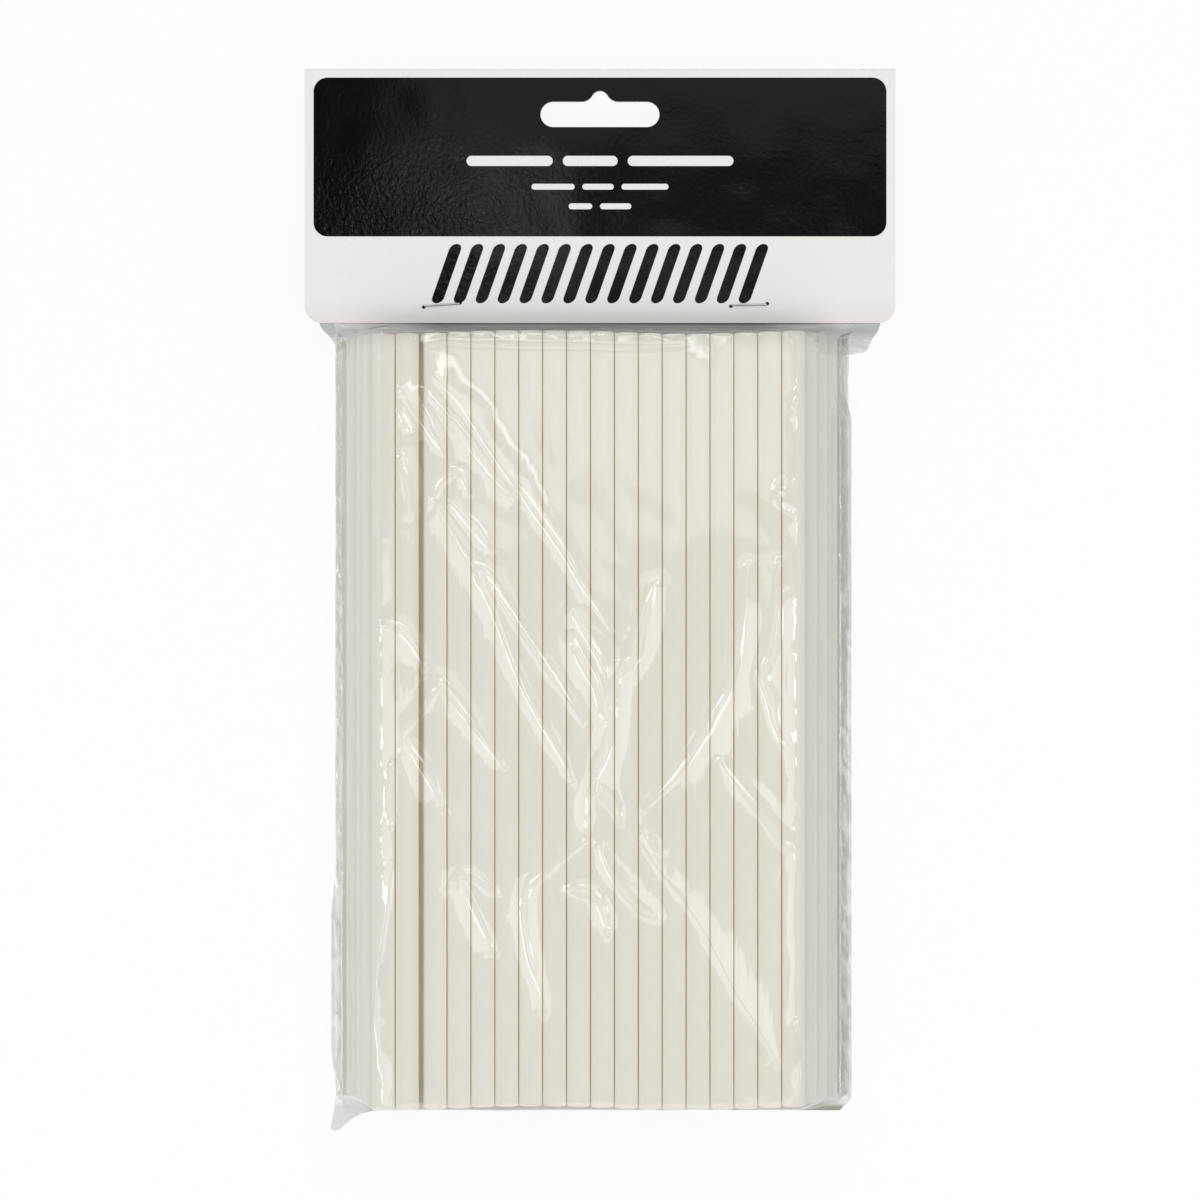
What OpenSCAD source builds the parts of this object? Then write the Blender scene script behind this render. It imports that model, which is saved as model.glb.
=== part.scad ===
// Hang-sell pack of paper drinking straws: a clear film bag of straws, closed by a folded header
// card that is stapled over the bag's mouth. The pack lies on its back: +X is to its right, +Y is
// towards the header card and +Z is its front. The origin is under the middle of the whole pack.

/* [Straws] */
// Outer diameter of one straw
straw_d = 6; // [5:0.1:8]
// Length of one straw
straw_l = 195; // [140:1:240]
// Thickness of the rolled paper wall
straw_wall = 0.35; // [0.2:0.05:0.8]
// Gap that is left between straws that lie side by side
straw_gap = 0.02; // [0.01:0.01:0.1]
// Number of straws in the front row
front_count = 18; // [14:1:22]
// Number of rows, each of them one straw shorter than the row behind it
row_count = 5; // [3:1:6]
// How far the front row lies to the left of its nest in the row behind
front_lean = 0.3; // [0:0.1:1]
// Width of the gap in the two front rows
loose_gap = 1; // [0:0.1:2]
// Number of straws to the left of that gap
loose_count = 2; // [1:1:4]
// How far the straw ends stand out of line
end_slip = 0.5; // [0:0.1:0.6]
// How far the bundle lies to the left of the card's middle
bundle_shift = 2.1; // [-2:0.1:4]

/* [Film bag] */
// Thickness of the clear film
film_t = 0.05; // [0.03:0.01:0.1]
// Clearance between the film and the straws
film_gap = 0.3; // [0.2:0.05:1]
// Length of the bag's mouth inside the header card
mouth_l = 25; // [15:1:35]
// Gap between the two films in the mouth and at the bottom fold
mouth_gap = 0.1; // [0.05:0.01:0.2]
// How far the mouth is narrower than the card, at each side
mouth_inset = 4; // [2:0.5:10]
// Distance from the header card's edge down to the straw ends
shoulder_l = 3.45; // [2.5:0.05:8]
// Distance from the straw ends down to the bottom fold
toe_l = 2.8; // [2.5:0.1:6]
// Width of the weld down the left side
left_weld_w = 1.8; // [1:0.1:4]
// Width of the weld down the right side
right_weld_w = 3.2; // [1:0.1:4]
// Share of the side's height at which the welds stand out
weld_level = 0.22; // [0.1:0.01:0.6]
// Reach of the film ear below the bottom left corner
ear_l = 5.35; // [3:0.05:10]
// Height of the highest fold in the front film
fold_h = 1.4; // [0:0.1:2.5]
// Width of a fold in the front film
fold_w = 9; // [6:0.5:14]

/* [Header card] */
// Width of the header card
card_w = 151; // [140:1:180]
// Height of the folded header card
card_h = 65; // [50:1:90]
// Thickness of the card
card_t = 0.35; // [0.25:0.05:0.6]
// Radius of the two bottom corners
card_corner_r = 4.5; // [1:0.5:10]
// Clearance between the card and the film inside it
card_gap = 0.05; // [0.02:0.01:0.2]

/* [Hang slot] */
// Length of the slot
slot_w = 30.4; // [24:0.2:36]
// Height of the slot
slot_h = 6.5; // [5:0.1:9]
// Distance from the card's top edge to the middle of the slot
slot_drop = 11.7; // [10:0.1:16]
// Height of the hook notch above the slot
notch_h = 2.75; // [2:0.05:4]
// Radius of the notch's top
notch_r = 2.2; // [1.5:0.1:2.8]
// Width of the notch's flared foot
notch_foot_w = 9.3; // [8:0.1:12]

/* [Staples] */
// Width of a staple
staple_w = 9.3; // [6:0.1:12]
// Diameter of the staple wire
wire_d = 0.5; // [0.4:0.05:0.7]
// Inner radius of a bend
bend_inner_r = 0.1; // [0.05:0.05:0.1]
// Length of each clinched tip behind the card
tip_l = 2.8; // [1:0.1:3.2]
// Clearance round the staple wire
wire_gap = 0.04; // [0.03:0.01:0.1]
// Height of the staples above the card's bottom edge
staple_up = 4.6; // [3:0.1:10]
// Place of the left staple, from the card's middle
left_staple_x = -40.4; // [-60:0.1:-20]
// Place of the right staple, from the card's middle
right_staple_x = 38.1; // [20:0.1:60]
// Tilt of the left staple in degrees
left_staple_tilt = 4; // [-10:0.5:10]
// Tilt of the right staple in degrees
right_staple_tilt = 1; // [-10:0.5:10]

/* [Hidden] */
$fn = 48;
// Distance between the middles of neighbouring straws
pitch = straw_d + straw_gap;
back_count = front_count + row_count - 1;
// Levels along the pack's length
pack_l = card_h + shoulder_l + straw_l + toe_l + ear_l;
card_top = pack_l / 2;
card_foot = card_top - card_h;
straws_top = card_foot - shoulder_l;
straws_foot = straws_top - straw_l;
bag_foot = straws_foot - toe_l;
mouth_y = card_foot + mouth_l;

// Rows are counted from the back, and straws from the left.
function straw_x(row, i) =
    (i + row / 2 - (back_count - 1) / 2) * pitch - bundle_shift
    - (row == row_count - 1 ? front_lean : 0)
    - (row >= row_count - 2 && i < loose_count ? loose_gap : 0);

// The back row lies on the film, and every other straw rests on those under it.
function rest_height(x, under) =
    max([for (c = under) if (abs(c[0] - x) < pitch) c[1] + sqrt(pitch * pitch - pow(c[0] - x, 2))]);
function row_centres(row) =
    let (under = row == 0 ? [] : row_centres(row - 1))
    [for (i = [0 : back_count - row - 1])
        let (x = straw_x(row, i))
        [x, row == 0 ? film_t + film_gap + straw_d / 2 : rest_height(x, under)]];
// The straws slip to and fro in waves along a row, and each row has waves of its own.
function slip(row, i) =
    let (depth = row_count - 1 - row)
    end_slip * sin(28 * (i - 3) + 77 * depth) * cos(61 * depth * i);

back_row = row_centres(0);
front_row = row_centres(row_count - 1);
front_level = max([for (c = front_row) c[1]]);
card_z = (film_t + film_gap + front_level + straw_d / 2) / 2;

// The film runs round four corner straws.
corner_left_back = back_row[0];
corner_right_back = back_row[back_count - 1];
corner_left_front = [front_row[0][0], front_level];
corner_right_front = [front_row[front_count - 1][0], front_level];
function heading(from, to) = atan2(to[1] - from[1], to[0] - from[0]);
left_out = heading(corner_left_back, corner_left_front) + 90;
right_out = heading(corner_right_back, corner_right_front) - 90;

// Every ring of the film has a front run, a back run with half as many steps, and two welds.
side_steps = 2;
arc_steps = 2;
face_steps = 24;
front_steps = face_steps + 2 * side_steps + 2 * arc_steps;
back_steps = front_steps / 2;
back_side_steps = 1;
back_arc_steps = 4;
back_face_steps = back_steps - 2 * back_side_steps - 2 * back_arc_steps;
ring_size = front_steps + back_steps + 6;

function mix(a, b, share) = a + (b - a) * share;
function on_corner(corner, angle, r) = corner + r * [cos(angle), sin(angle)];
function left_side(r, share) = on_corner(mix(corner_left_back, corner_left_front, share), left_out, r);
function right_side(r, share) = on_corner(mix(corner_right_back, corner_right_front, share), right_out, r);

// The front run goes from the left weld over the front to the right weld.
function front_run(r) = [
    for (k = [0 : side_steps - 1]) left_side(r, mix(weld_level, 1, k / side_steps)),
    for (k = [0 : arc_steps - 1]) on_corner(corner_left_front, mix(left_out, 90, k / arc_steps), r),
    for (k = [0 : face_steps - 1])
        mix(on_corner(corner_left_front, 90, r), on_corner(corner_right_front, 90, r), k / face_steps),
    for (k = [0 : arc_steps - 1]) on_corner(corner_right_front, mix(90, right_out, k / arc_steps), r),
    for (k = [0 : side_steps]) right_side(r, mix(1, weld_level, k / side_steps))
];

// The back run goes from the right weld under the back to the left weld.
function back_run(r) = [
    for (k = [0 : back_side_steps - 1]) right_side(r, mix(weld_level, 0, k / back_side_steps)),
    for (k = [0 : back_arc_steps - 1])
        on_corner(corner_right_back, mix(right_out, -90, k / back_arc_steps), r),
    for (k = [0 : back_face_steps - 1])
        mix(on_corner(corner_right_back, -90, r), on_corner(corner_left_back, -90, r), k / back_face_steps),
    for (k = [0 : back_arc_steps - 1])
        on_corner(corner_left_back, mix(270, left_out, k / back_arc_steps), r),
    for (k = [0 : back_side_steps]) left_side(r, mix(0, weld_level, k / back_side_steps))
];

// Folds in the front film: each is a height share and a line of points, given as shares of the
// front face from its left edge and from the straws' foot.
folds = [
    [1.0, [[0.13, 0.95], [0.23, 0.90], [0.39, 0.76], [0.56, 0.61]]],
    [0.6, [[0.12, 0.92], [0.19, 0.85], [0.33, 0.75]]],
    [0.8, [[0.23, 0.70], [0.34, 0.56], [0.41, 0.48], [0.47, 0.42]]],
    [0.8, [[0.05, 0.62], [0.15, 0.54], [0.31, 0.44]]],
    [0.5, [[0.15, 0.54], [0.07, 0.45]]],
    [1.0, [[0.45, 0.65], [0.55, 0.56], [0.61, 0.60], [0.66, 0.68]]],
    [0.9, [[0.55, 0.56], [0.54, 0.45], [0.50, 0.36], [0.35, 0.26], [0.40, 0.12]]],
    [0.7, [[0.87, 0.71], [0.83, 0.54], [0.72, 0.44], [0.62, 0.38]]],
    [0.7, [[0.94, 0.71], [0.92, 0.58], [0.95, 0.46]]],
    [0.6, [[0.80, 0.45], [0.95, 0.34]]],
    [0.6, [[0.61, 0.34], [0.78, 0.22], [0.94, 0.06]]],
    [0.6, [[0.18, 0.28], [0.23, 0.30], [0.28, 0.20]]],
    [0.5, [[0.05, 0.32], [0.01, 0.04]]]
];
face_left = corner_left_front[0] - straw_d / 2;
face_w = corner_right_front[0] + straw_d / 2 - face_left;
function on_face(share) = [face_left + share[0] * face_w, straws_foot + share[1] * straw_l];
function segment_distance(p, a, b) =
    let (along = max(0, min(1, (p - a) * (b - a) / ((b - a) * (b - a)))))
    norm(p - mix(a, b, along));
function fold_rise(p) = fold_h * max([
    for (fold = folds)
        for (k = [0 : len(fold[1]) - 2])
            fold[0] * max(0, 1 - segment_distance(p, on_face(fold[1][k]), on_face(fold[1][k + 1])) * 2 / fold_w)
]);

// The ends of the bag round over like a superellipse, from the faces into a steep end wall.
end_power = 0.3;
end_l = 5;
end_angles = [0, 7, 22, 46, 70, 83, 90];
body_steps = 30;
// Extra stations that shape the film's ears below the card, by distance below the card's edge
ear_levels = [6.7, 7.7, 8.2, 10.5];
// The film is drawn flat just below the card's edge.
throat_y = card_foot - 0.3;
body_top = throat_y - end_l;
body_foot = bag_foot + end_l;
ears_foot = card_foot - ear_levels[len(ear_levels) - 1];

// A station is a level, how far the section there has closed into a flat line of the mouth's
// width, how far it has closed into one of the toe's width, and how far it lies into either end.
stations = [
    [mouth_y, 1, 0, 0],
    [mix(card_foot, mouth_y, 0.5), 1, 0, 0],
    for (k = [1 : len(end_angles)])
        let (turn = end_angles[len(end_angles) - k], share = pow(sin(turn), end_power))
        [body_top + end_l * share, 1 - pow(cos(turn), end_power), 0, share],
    for (level = ear_levels) [card_foot - level, 0, 0, 0],
    for (k = [1 : body_steps - 1]) [mix(ears_foot, body_foot, k / body_steps), 0, 0, 0],
    for (turn = end_angles)
        let (share = pow(sin(turn), end_power))
        [body_foot - end_l * share, 0, 1 - pow(cos(turn), end_power), -share]
];
station_count = len(stations);

// Where the mouth and the toe reach on either side
mouth_left = -card_w / 2 + mouth_inset;
mouth_right = card_w / 2 - mouth_inset;
toe_left = corner_left_back[0];
toe_right = corner_right_back[0];

// Extra reach of the welds by distance below the card's edge: the ears at the shoulder
left_ear = [[0.3, 3.4], [5.4, 0]];
right_ear = [[0.3, 6.8], [2.2, 6.2], [5, 4.8], [6.7, 3.6], [7.7, 0.3], [8.2, -2.4], [17, -1.9], [24, 0]];
// Extra reach of the left weld, by distance above the bottom fold
low_weld = [[6, 0], [14, 1.2], [50, 1.2], [62, 0]];
// Drop of the bottom fold, as a share of the ear's reach, by distance from the fold's left end
toe_ear = [[-3.6, 1], [-1, 0.85], [1, 0.5], [4, 0.17], [8, 0]];
toe_ear_out = 3.4;
// Half of the thickness of two films that lie face to face
flat_half = mouth_gap / 2 + film_t;
// How far the crinkled welds wave to and fro, and their width where they run out
weld_wave = 0.5;
least_weld = 0.2;

// One run of a ring: the wrapped section, drawn towards a flat line at the card's level
function gathered(run, side, station, skin) =
    let (steps = len(run) - 1, flat_z = card_z + side * (flat_half - skin))
    [for (k = [0 : steps])
        let (
            share = side > 0 ? k / steps : 1 - k / steps,
            wide = mix(mouth_left + skin, mouth_right - skin, share),
            toe = mix(toe_left + skin, toe_right - skin, share)
        )
        [
            mix(mix(run[k][0], wide, station[1]), toe, station[2]),
            mix(run[k][1], flat_z, max(station[1], station[2]))
        ]];

// Points of a ring by station: skin is 0 for the outside and the film's thickness for the inside.
function section(station, skin) =
    let (
        r = straw_d / 2 + film_gap + film_t - skin,
        front = gathered(front_run(r), 1, station, skin),
        back = gathered(back_run(r), -1, station, skin),
        left_root = (front[0] + back[back_steps]) / 2,
        right_root = (front[front_steps] + back[0]) / 2,
        below = card_foot - station[0],
        above = station[0] - bag_foot,
        open = 1 - max(station[1], station[2]),
        left_reach = (left_weld_w + lookup(below, left_ear) + lookup(above, low_weld)) * open,
        right_reach = (right_weld_w + lookup(below, right_ear)) * open,
        wave = weld_wave * open * sin(40 * station[0]),
        half = [0, skin > 0 ? skin / 4 : flat_half],
        left_tip = left_root
            + (skin > 0 ? [-skin / 4, 0] : [-least_weld - left_reach - toe_ear_out * station[2], wave]),
        right_tip = right_root + (skin > 0 ? [skin / 4, 0] : [least_weld + right_reach, -wave]),
        tip_half = skin > 0 ? half / 2 : half
    )
    concat(
        [left_root + half],
        [for (k = [1 : front_steps - 1]) front[k]],
        [right_root + half, right_tip + tip_half, right_tip - tip_half, right_root - half],
        [for (k = [1 : back_steps - 1]) back[k]],
        [left_root - half, left_tip - tip_half, left_tip + tip_half]
    );

function ring(station, skin) =
    let (y = station[0] - station[3] * skin)
    [for (p = section(station, skin))
        let (
            rise = p[1] > front_level + straw_d / 2 ? fold_rise([p[0], y]) : 0,
            drop = skin > 0 ? 0 : ear_l * station[2] * lookup(p[0] - toe_left, toe_ear)
        )
        [p[0], y - drop, p[1] + rise]];

// Faces of the film: the outside, the inside, the rim of the mouth and the two sides of the toe
function at(layer, j, i) = (layer * station_count + j) * ring_size + (i + ring_size) % ring_size;
function turned(faces) = [for (f = faces) [f[0], f[2], f[1]]];
function wall(layer) = [
    for (j = [0 : station_count - 2])
        for (i = [0 : ring_size - 1])
            each [
                [at(layer, j, i), at(layer, j, i + 1), at(layer, j + 1, i + 1)],
                [at(layer, j, i), at(layer, j + 1, i + 1), at(layer, j + 1, i)]
            ]
];
function toe(layer) =
    let (j = station_count - 1, first_back = front_steps + 3, last_back = first_back + back_steps)
    [
        for (k = [0 : back_steps - 1])
            let (b = first_back + k, f = front_steps - 2 * k)
            each [
                [at(layer, j, b), at(layer, j, b + 1), at(layer, j, f - 1)],
                [at(layer, j, b + 1), at(layer, j, f - 2), at(layer, j, f - 1)],
                [at(layer, j, b), at(layer, j, f - 1), at(layer, j, f)]
            ],
        for (i = [front_steps, last_back])
            each [
                [at(layer, j, i), at(layer, j, i + 1), at(layer, j, i + 2)],
                [at(layer, j, i), at(layer, j, i + 2), at(layer, j, i + 3)]
            ]
    ];
function rim() = [
    for (i = [0 : ring_size - 1])
        each [
            [at(0, 0, i + 1), at(0, 0, i), at(1, 0, i)],
            [at(0, 0, i + 1), at(1, 0, i), at(1, 0, i + 1)]
        ]
];

module bag() {
    points = [
        for (skin = [0, film_t])
            for (station = stations)
                each ring(station, skin)
    ];
    color("aliceblue", 0.35)
        difference() {
            polyhedron(points, concat(wall(0), turned(wall(1)), toe(0), turned(toe(1)), rim()));
            staple_holes();
        }
}

// One straw, drawn along Y from its foot
module straw(row, i) {
    centre = row_centres(row)[i];
    color("ivory")
        translate([centre[0], straws_foot + slip(row, i), centre[1]])
            rotate([-90, 0, 0])
                difference() {
                    cylinder(h=straw_l, d=straw_d);
                    translate([0, 0, -1]) cylinder(h=straw_l + 2, d=straw_d - 2 * straw_wall);
                }
}

module straw_row(row) {
    for (i = [0 : back_count - row - 1]) straw(row, i);
}

// Levels of the folded card, front to back
card_inner = 2 * (flat_half + card_gap);
card_outer = card_inner + 2 * card_t;

// Section of the folded card, with its flaps hanging from the fold
module card_section() {
    difference() {
        union() {
            translate([card_foot, -card_outer / 2]) square([card_h - card_outer / 2, card_outer]);
            translate([card_top - card_outer / 2, 0]) circle(d=card_outer);
        }
        translate([card_foot - 1, -card_inner / 2]) square([card_h - card_outer / 2 + 1, card_inner]);
        translate([card_top - card_outer / 2, 0]) circle(d=card_inner);
    }
}

module card_outline() {
    r = card_corner_r;
    translate([-card_w / 2, card_foot + r]) square([card_w, card_h]);
    translate([-card_w / 2 + r, card_foot]) square([card_w - 2 * r, card_h]);
    for (side = [-1, 1]) translate([side * (card_w / 2 - r), card_foot + r]) circle(r=r);
}

// Outline of the hang slot: a long hole with a rounded notch above it that has flared feet. The
// arcs of the feet cut a little way into the notch's round, so that they meet it at a corner.
notch_cut = 0.01;
module slot_outline() {
    notch_y = slot_h / 2 + notch_h - notch_r;
    foot_x = notch_foot_w / 2;
    inner_r = notch_r - notch_cut;
    foot_r = (foot_x * foot_x + pow(slot_h / 2 - notch_y, 2) - inner_r * inner_r)
        / (2 * (inner_r - slot_h / 2 + notch_y));
    meet_share = (notch_r - notch_cut / 2) / (inner_r + foot_r);
    meet_x = meet_share * foot_x;
    meet_y = notch_y + meet_share * (slot_h / 2 + foot_r - notch_y);
    square([slot_w - slot_h, slot_h], center=true);
    for (side = [-1, 1]) translate([side * (slot_w - slot_h) / 2, 0]) circle(d=slot_h);
    translate([0, notch_y]) circle(r=notch_r);
    difference() {
        polygon([[-foot_x, 0], [-foot_x, slot_h / 2], [-meet_x, meet_y],
            [meet_x, meet_y], [foot_x, slot_h / 2], [foot_x, 0]]);
        for (side = [-1, 1]) translate([side * foot_x, slot_h / 2 + foot_r]) circle(r=foot_r);
    }
}

// Puts a staple's own frame where a staple sits: X along its crown, and Z through the card
module at_staples(side) {
    x = side < 0 ? left_staple_x : right_staple_x;
    tilt = side < 0 ? left_staple_tilt : right_staple_tilt;
    translate([x, card_foot + staple_up, card_z]) rotate([0, 0, tilt]) children();
}

leg_x = (staple_w - wire_d) / 2;
bend_r = bend_inner_r + wire_d / 2;

module staple_holes() {
    for (side = [-1, 1])
        at_staples(side)
            for (leg = [-1, 1])
                translate([leg * leg_x, 0, -card_outer]) cylinder(h=2 * card_outer, d=wire_d + 2 * wire_gap);
}

module header_card() {
    color("whitesmoke")
        difference() {
            intersection() {
                translate([-card_w / 2, 0, card_z])
                    rotate([90, 0, 90]) linear_extrude(card_w) card_section();
                translate([0, 0, card_z - card_outer]) linear_extrude(2 * card_outer) card_outline();
            }
            translate([0, card_top - slot_drop, card_z - card_outer])
                linear_extrude(2 * card_outer) slot_outline();
            staple_holes();
        }
}

// A quarter bend of the wire in the XZ plane, from the given angle
module wire_bend(angle) {
    rotate([90, 0, 0]) rotate([0, 0, angle])
        rotate_extrude(angle=90) translate([bend_r, 0]) circle(d=wire_d);
}

module staple(side) {
    reach = card_outer / 2 + wire_gap + wire_d / 2;
    bend_x = leg_x - bend_r;
    color("silver")
        at_staples(side) {
            translate([-bend_x, 0, reach]) rotate([0, 90, 0]) cylinder(h=2 * bend_x, d=wire_d);
            for (end = [0, 1])
                mirror([end, 0, 0]) {
                    translate([bend_x, 0, reach - bend_r]) wire_bend(0);
                    translate([leg_x, 0, bend_r - reach]) cylinder(h=2 * (reach - bend_r), d=wire_d);
                    translate([bend_x, 0, bend_r - reach]) wire_bend(270);
                    translate([bend_x - tip_l, 0, -reach]) rotate([0, 90, 0]) cylinder(h=tip_l, d=wire_d);
                }
        }
}

function two_digits(n) = n < 10 ? str("0", n) : str(n);

bag();
header_card();
staple(-1);  // staple_left
staple(1);  // staple_right
for (i = [1 : front_count])
    straw(row_count - 1, i - 1);
for (row = [2 : row_count - 1])
    straw_row(row_count - row);
for (i = [1 : back_count])
    straw(0, i - 1);
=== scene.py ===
"""Looks of a hang-sell pack of paper drinking straws: clear film, printed card, staples and straws.

The sizes of the film, of the print and of the materials' ranges are in millimetres, and become
metres where a mesh or a material is made. The lamps, the floor and the camera are in metres.
"""

import math
import random

import bpy
import numpy as np
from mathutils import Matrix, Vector, noise
from mathutils.geometry import delaunay_2d_cdt


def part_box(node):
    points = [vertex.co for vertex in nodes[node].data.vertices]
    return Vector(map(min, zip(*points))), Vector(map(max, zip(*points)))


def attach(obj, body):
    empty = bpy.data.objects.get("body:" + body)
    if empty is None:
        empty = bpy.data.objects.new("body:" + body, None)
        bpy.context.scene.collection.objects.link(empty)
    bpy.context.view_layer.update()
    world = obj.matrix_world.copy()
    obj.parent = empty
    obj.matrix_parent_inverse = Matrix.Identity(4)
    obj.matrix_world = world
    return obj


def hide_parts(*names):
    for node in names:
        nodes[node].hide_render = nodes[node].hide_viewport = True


MM = 0.001

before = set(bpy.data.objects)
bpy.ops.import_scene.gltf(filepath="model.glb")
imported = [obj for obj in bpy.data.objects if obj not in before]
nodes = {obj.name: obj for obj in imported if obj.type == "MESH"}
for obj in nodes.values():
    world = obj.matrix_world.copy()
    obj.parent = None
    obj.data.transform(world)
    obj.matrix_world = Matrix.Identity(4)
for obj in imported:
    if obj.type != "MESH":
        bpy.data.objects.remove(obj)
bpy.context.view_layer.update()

# Sizes that the film shares with the part's source
STRAW_R = 3.0
FILM_R = STRAW_R + 0.33
MOUTH_L = 25.0
MOUTH_INSET = 4.0
SHOULDER_L = 3.45
TOE_L = 2.8
EAR_L = 5.35
END_L = 4.4
END_POWER = 0.3
# How square the film's rounded ends are, from a plain slope to a box
END_SQUARE = 0.45
THROAT_DROP = 0.3
WELD_LEVEL = 0.22
LEFT_WELD_W = 1.8
RIGHT_WELD_W = 3.2
LEAST_WELD = 0.2
FLAT_HALF = 0.075
TOE_EAR_OUT = 3.4


def middle(node):
    """The middle of a node's box, in millimetres."""
    low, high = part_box(node)
    return (low + high) / 2 / MM


def mix(a, b, share):
    return a + (b - a) * share


def lookup(x, table):
    """The value of a table of (place, value) rows at x, held beyond its ends."""
    places, values = zip(*table)
    return np.interp(x, places, values)


# Levels along the pack, and the four straws that the film runs round
card_low, card_high = (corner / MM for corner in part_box("header_card"))
card_z = (card_low.z + card_high.z) / 2
card_foot = card_low.y
card_half_w = card_high.x
front_names = sorted(name for name in nodes if name.startswith("front_straw_"))
back_names = sorted(name for name in nodes if name.startswith("back_straw_"))
straw_l = (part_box(front_names[0])[1].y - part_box(front_names[0])[0].y) / MM
straws_foot = card_foot - SHOULDER_L - straw_l
front_level = max(middle(name).z for name in front_names)
left_back = np.array([middle(back_names[0]).x, middle(back_names[0]).z])
right_back = np.array([middle(back_names[-1]).x, middle(back_names[-1]).z])
left_front = np.array([middle(front_names[0]).x, front_level])
right_front = np.array([middle(front_names[-1]).x, front_level])

straws_top = card_foot - SHOULDER_L
throat_y = card_foot - THROAT_DROP
body_top = throat_y - END_L
bag_foot = straws_foot - TOE_L
body_foot = bag_foot + END_L
mouth_left = -card_half_w + MOUTH_INSET
mouth_right = card_half_w - MOUTH_INSET
# Length of film over each rounded end, from the body to the flat mouth or toe
END_RUN = 17.0

# Extra reach of the welds by distance below the card's edge or above the bottom fold, and the drop
# of the bottom fold by distance from its left end, as a share of the ear's reach
LEFT_EAR = ((0.3, 3.4), (5.4, 0))
RIGHT_EAR = ((0.3, 6.8), (2.2, 6.2), (5, 4.7), (6.5, 4.0), (7.1, 3.2), (7.6, 1.6), (7.9, -2.4),
             (17, -1.9), (24, 0))
LOW_WELD = ((6, 0), (14, 1.2), (50, 1.2), (62, 0))
TOE_EAR = ((-3.6, 0.86), (-3.0, 0.98), (-2.2, 1), (-1, 0.88), (1, 0.5), (4, 0.17), (8, 0))


def heading(start, end):
    return math.atan2(end[1] - start[1], end[0] - start[0])


left_out = heading(left_back, left_front) + math.pi / 2
right_out = heading(right_back, right_front) - math.pi / 2


# Points of the film's line round each of the four corner straws
ARC_POINTS = 10


def arc(centre, start, end):
    angles = np.linspace(start, end, ARC_POINTS)
    return [centre + FILM_R * np.array([math.cos(a), math.sin(a)]) for a in angles]


def wrapped_section(side):
    """The film's line round the bundle, left to right, on the front (side 1) or the back (side -1):
    distances along it, and x and z there."""
    left = FILM_R * np.array([math.cos(left_out), math.sin(left_out)])
    right = FILM_R * np.array([math.cos(right_out), math.sin(right_out)])
    left_root = mix(left_back, left_front, WELD_LEVEL) + left
    right_root = mix(right_back, right_front, WELD_LEVEL) + right
    if side > 0:
        line = arc(left_front, left_out, math.pi / 2) + arc(right_front, math.pi / 2, right_out)
    else:
        line = arc(left_back, left_out, 1.5 * math.pi) + arc(right_back, -math.pi / 2, right_out)
    points = np.array([left_root, *line, right_root])
    steps = np.hypot(*np.diff(points, axis=0).T)
    return np.concatenate([[0], np.cumsum(steps)]), points[:, 0], points[:, 1]


# Width of each weld among a sheet's unrolled points, however far the weld reaches in the pack
UNROLLED_WELD = 3.0


class Sheet:
    """One of the bag's two films. Its points are given unrolled: q across it from the root of the
    left weld, and v along it, which is the level y as far as the bundle is straight."""

    def __init__(self, side):
        self.side = side
        self.distances, self.xs, self.zs = wrapped_section(side)
        self.width = self.distances[-1]
        self.face_left = self.distances[ARC_POINTS]
        self.face_right = self.distances[ARC_POINTS + 1]
        self.foot = body_foot - END_RUN
        self.mouth = body_top + END_RUN + MOUTH_L

    def point(self, q, v):
        """Places in the pack of unrolled points."""
        ease_top = np.clip((v - body_top) / END_RUN, 0, 1)
        ease_foot = np.clip((body_foot - v) / END_RUN, 0, 1)
        turn_top = math.pi / 2 * ease_top**2 * (3 - 2 * ease_top)
        turn_foot = math.pi / 2 * ease_foot**2 * (3 - 2 * ease_foot)
        beyond = np.maximum(v - body_top - END_RUN, 0)
        mouth = 1 - np.abs(np.cos(turn_top)) ** END_POWER
        toe = 1 - np.abs(np.cos(turn_foot)) ** END_POWER
        over_top = mix(mouth, np.sin(turn_top) ** END_POWER, END_SQUARE)
        over_foot = mix(toe, np.sin(turn_foot) ** END_POWER, END_SQUARE)
        y = np.clip(v, body_foot, body_top) + beyond + END_L * (over_top - over_foot)
        closed = np.maximum(mouth, toe)

        share = np.clip(q / self.width, 0, 1)
        x = np.interp(q, self.distances, self.xs)
        z = np.interp(q, self.distances, self.zs)
        x = mix(x, mix(mouth_left, mouth_right, share), mouth)
        x = mix(x, mix(left_back[0], right_back[0], share), toe)
        z = mix(z, card_z + self.side * FLAT_HALF, closed)

        below = card_foot - y
        above = y - bag_foot
        out_left = np.clip(-q / UNROLLED_WELD, 0, 1)
        out_right = np.clip((q - self.width) / UNROLLED_WELD, 0, 1)
        reach_left = (LEFT_WELD_W + lookup(below, LEFT_EAR) + lookup(above, LOW_WELD)) * (1 - closed)
        reach_right = (RIGHT_WELD_W + lookup(below, RIGHT_EAR)) * (1 - closed)
        x = x - out_left * (LEAST_WELD + reach_left + TOE_EAR_OUT * toe)
        x = x + out_right * (LEAST_WELD + reach_right)
        y = y - EAR_L * toe * lookup(x - left_back[0], TOE_EAR)
        return np.stack([x, y, z], axis=-1)

    def raised(self, q, v, rise):
        """Places of unrolled points that stand off the sheet by rise."""
        step = 0.05
        across = self.point(q + step, v) - self.point(q - step, v)
        along = self.point(q, v + step) - self.point(q, v - step)
        normal = np.cross(across, along) * self.side
        length = np.linalg.norm(normal, axis=-1, keepdims=True)
        normal = np.where(length > 1e-9, normal / np.maximum(length, 1e-9), [0, 0, self.side])
        return self.point(q, v) + normal * np.asarray(rise)[..., None]


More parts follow.
